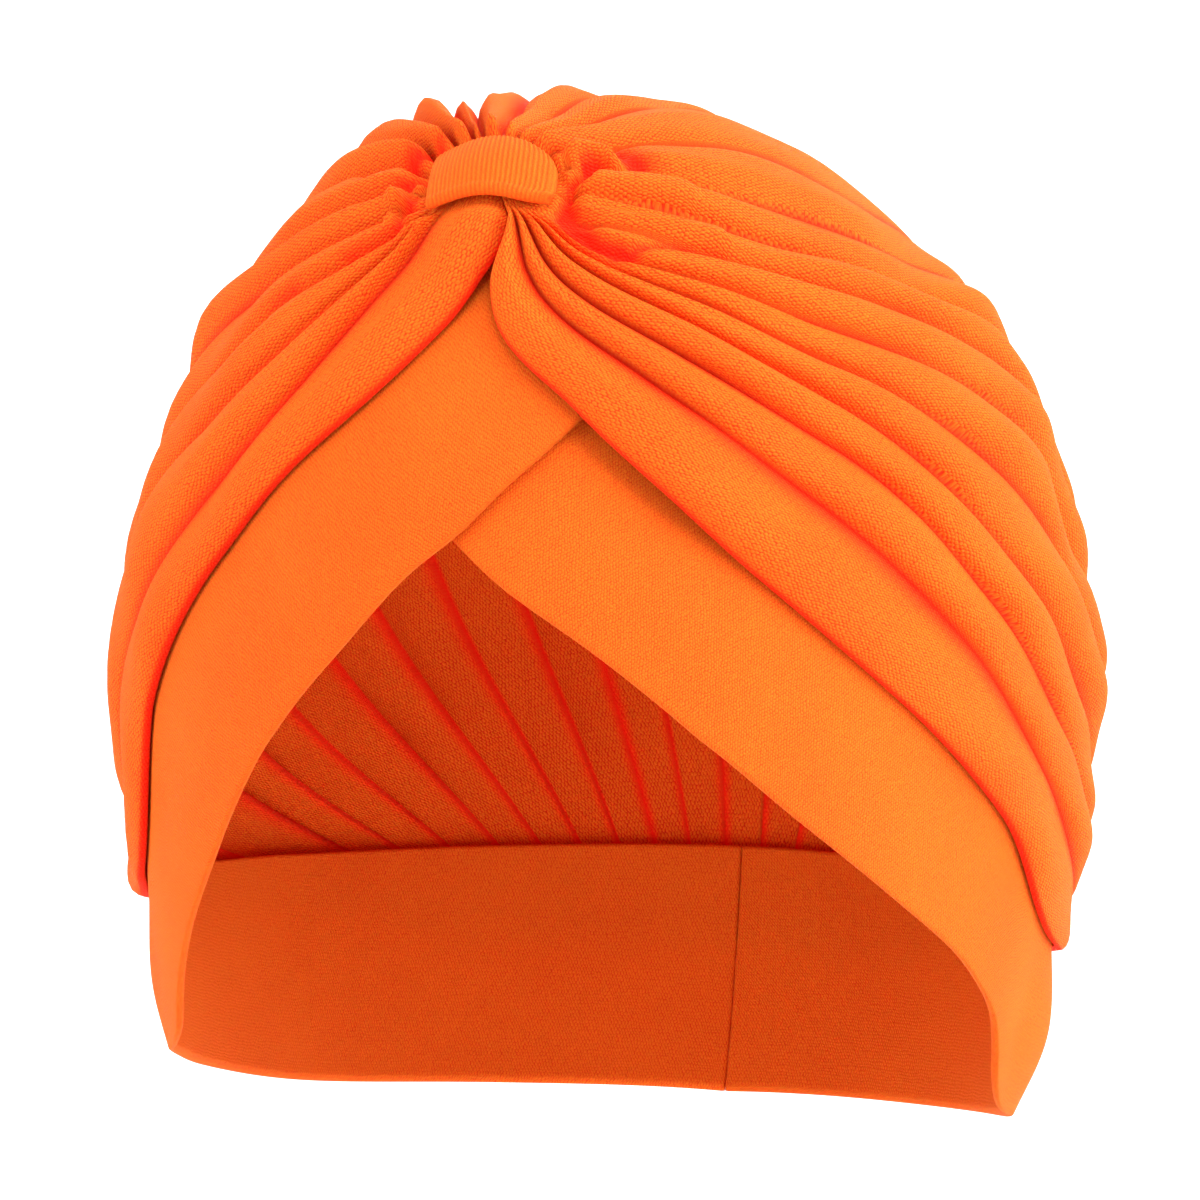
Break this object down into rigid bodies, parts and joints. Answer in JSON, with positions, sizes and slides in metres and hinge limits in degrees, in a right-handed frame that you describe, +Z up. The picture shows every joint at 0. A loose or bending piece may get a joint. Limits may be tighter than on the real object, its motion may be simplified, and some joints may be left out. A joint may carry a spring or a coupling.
{
  "type": "turban hat",
  "caption": "Pre-tied turban hat of orange stretch jersey: pleated crown gathered under a rib tab over two bands crossing at the brow.",
  "frame": {"origin": "head_seat: the top of the head, where it touches the inside of the crown, on the hat's centre line", "axes": "+Z up; the face looks towards -Y and the nape is on +Y; +X is the wearer's left, where the upper band's end tucks in"},
  "size_m": [0.1779, 0.191, 0.1974],
  "materials": {
    "jersey": "fine smooth-faced stretch jersey, matte with a soft sheen",
    "rib_jersey": "rib knit of the same yarn, matte"
  },
  "bodies": {
    "root": {"crown": "jersey", "band_left": "jersey", "band_right": "jersey", "knot_tab": "rib_jersey"}
  },
  "joints": []
}
